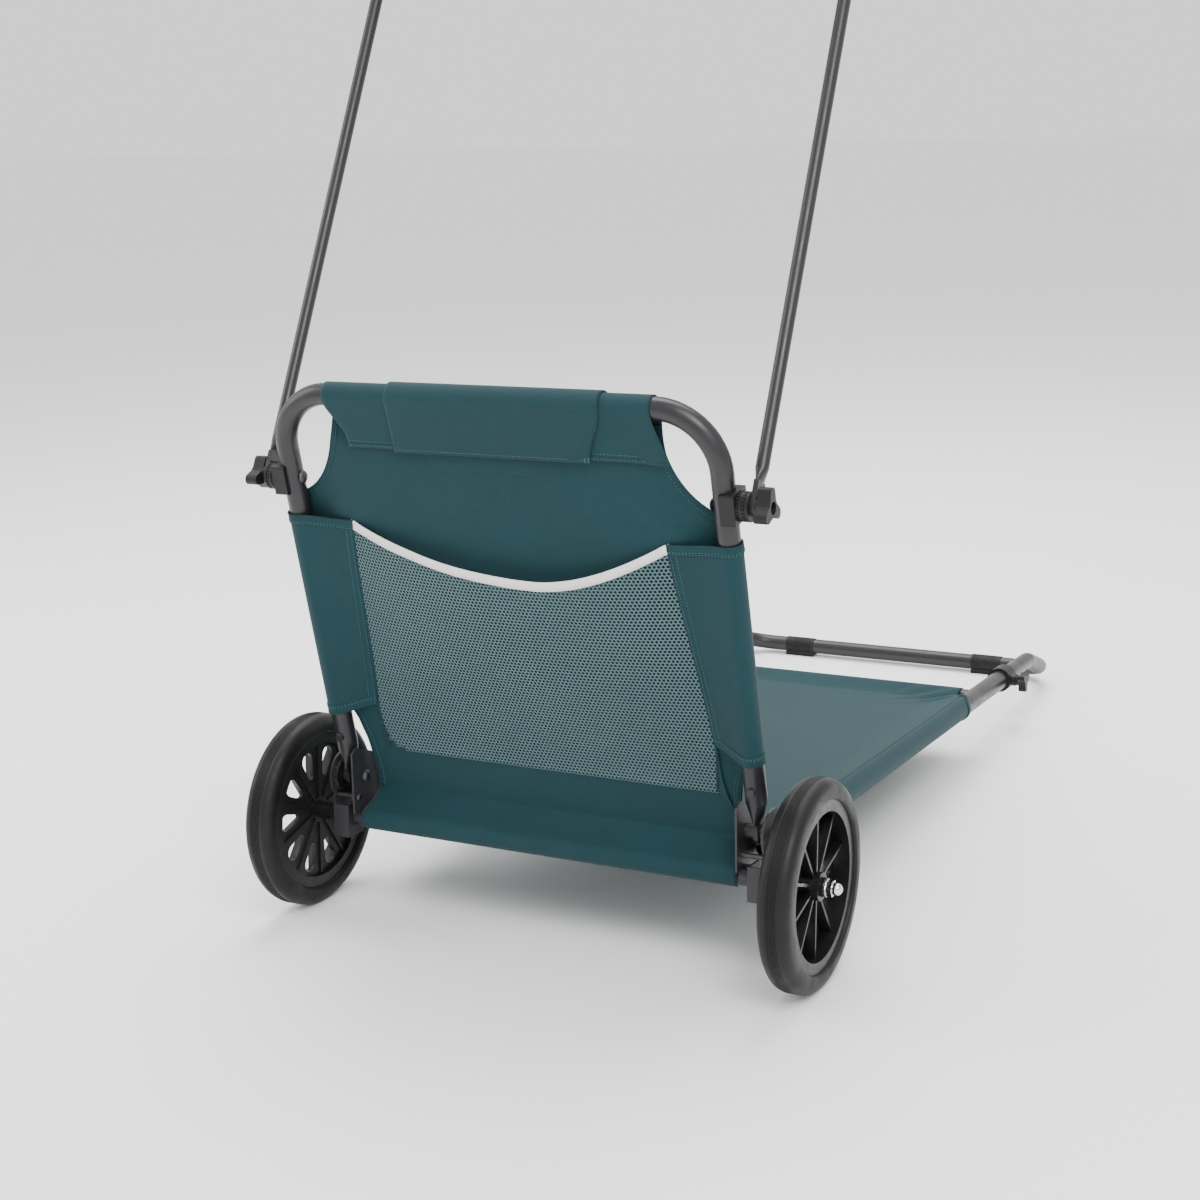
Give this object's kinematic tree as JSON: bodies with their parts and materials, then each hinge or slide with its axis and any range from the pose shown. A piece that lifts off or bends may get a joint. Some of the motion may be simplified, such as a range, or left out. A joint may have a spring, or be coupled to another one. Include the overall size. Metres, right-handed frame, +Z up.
{
  "type": "beach cart",
  "caption": "Two-wheeled folding beach cart and lounger with a fabric deck, reclining pocketed backrest, front hoop and tilting sun canopy.",
  "frame": {"origin": "On the ground, in the middle of the cart's outline seen from above", "axes": "+Z up, +Y towards the foot end of the deck, +X to the right of someone behind the backrest"},
  "size_m": [0.6454, 1.2212, 1.1243],
  "materials": {
    "frame_paint": "satin dark warm grey powder coat",
    "dark_steel": "dark coated steel",
    "bright_zinc": "bright zinc plate",
    "teal_fabric": "plain woven polyester, dark teal",
    "pillow_fabric": "plain woven polyester, dark teal, padded",
    "pocket_mesh": "open hexagonal knit mesh, grey teal",
    "white_tape": "white folded binding tape",
    "black_plastic": "black moulded nylon, fine texture",
    "nylon": "natural nylon",
    "tyre_rubber": "solid black rubber, smooth tread",
    "pad_rubber": "black ribbed rubber"
  },
  "bodies": {
    "chassis": {"rail_left": "frame_paint", "rail_right": "frame_paint", "rear_cross_tube": "frame_paint", "front_cross_tube": "frame_paint", "hinge_bracket_left": "frame_paint", "hinge_bracket_right": "frame_paint", "hinge_inner_plate_left": "frame_paint", "hinge_inner_plate_right": "frame_paint", "ratchet_disc_left": "dark_steel", "ratchet_disc_right": "dark_steel", "pivot_spacers": "dark_steel", "hinge_pivot_rivets": "dark_steel", "rail_rivets": "dark_steel", "stop_pins": "dark_steel", "rear_axle": "bright_zinc", "cross_tube_plugs": "black_plastic", "wheel_spacers": "black_plastic", "axle_washers": "bright_zinc", "axle_cap_nuts": "bright_zinc", "deck_fabric": "teal_fabric", "rail_collar_left": "black_plastic", "rail_collar_right": "black_plastic"},
    "wheel_left": {"wheel_disc_left": "black_plastic", "tyre_left": "tyre_rubber", "wheel_bush_left": "nylon"},
    "wheel_right": {"wheel_disc_right": "black_plastic", "tyre_right": "tyre_rubber", "wheel_bush_right": "nylon"},
    "backrest": {"back_frame": "frame_paint", "leg_rivets": "frame_paint", "back_fabric": "teal_fabric", "head_pillow": "pillow_fabric", "mesh_pocket": "pocket_mesh", "pocket_binding": "white_tape", "pole_saddle_left": "black_plastic", "pole_saddle_right": "black_plastic", "fixed_tooth_disc_left": "black_plastic", "fixed_tooth_disc_right": "black_plastic", "pole_bolts": "dark_steel"},
    "canopy": {"canopy_frame": "frame_paint", "canopy_cross_rod": "frame_paint", "canopy_fabric": "teal_fabric", "moving_tooth_disc_left": "black_plastic", "moving_tooth_disc_right": "black_plastic"},
    "pole_knob_left": {"pole_knob_left": "black_plastic"},
    "pole_knob_right": {"pole_knob_right": "black_plastic"},
    "hoop": {"front_hoop": "frame_paint", "foot_pad_left": "pad_rubber", "foot_pad_right": "pad_rubber", "hoop_glides": "black_plastic"},
    "clamp_screw_left": {"clamp_screw_left": "black_plastic"},
    "clamp_screw_right": {"clamp_screw_right": "black_plastic"}
  },
  "joints": [
    {"name": "recline", "type": "hinge", "parent": "chassis", "child": "backrest", "pos_m": [0, -0.49994, 0.14894], "axis": [1, 0, 0], "range_deg": [-50, 74]},
    {"name": "wheel_left_spin", "type": "hinge", "parent": "chassis", "child": "wheel_left", "pos_m": [-0.29, -0.50565, 0.105], "axis": [1, 0, 0], "continuous": true},
    {"name": "wheel_right_spin", "type": "hinge", "parent": "chassis", "child": "wheel_right", "pos_m": [0.29, -0.50565, 0.105], "axis": [1, 0, 0], "continuous": true},
    {"name": "canopy_tilt", "type": "hinge", "parent": "backrest", "child": "canopy", "pos_m": [0, -0.57116, 0.48825], "axis": [-1, 0, 0], "range_deg": [-60, 50]},
    {"name": "pole_knob_left_turn", "type": "hinge", "parent": "backrest", "child": "pole_knob_left", "pos_m": [-0.265, -0.57116, 0.48825], "axis": [-1, 0, 0], "range_deg": [0, 270]},
    {"name": "pole_knob_right_turn", "type": "hinge", "parent": "backrest", "child": "pole_knob_right", "pos_m": [0.265, -0.57116, 0.48825], "axis": [1, 0, 0], "range_deg": [0, 270]},
    {"name": "hoop_slide", "type": "slide", "parent": "chassis", "child": "hoop", "axis": [0, 0.9975, -0.0709], "range_m": [0, 0.2]},
    {"name": "clamp_screw_left_turn", "type": "hinge", "parent": "chassis", "child": "clamp_screw_left", "pos_m": [-0.235, 0.35883, 0.06692], "axis": [-1, 0, 0], "range_deg": [0, 270]},
    {"name": "clamp_screw_right_turn", "type": "hinge", "parent": "chassis", "child": "clamp_screw_right", "pos_m": [0.235, 0.35883, 0.06692], "axis": [1, 0, 0], "range_deg": [0, 270]}
  ]
}
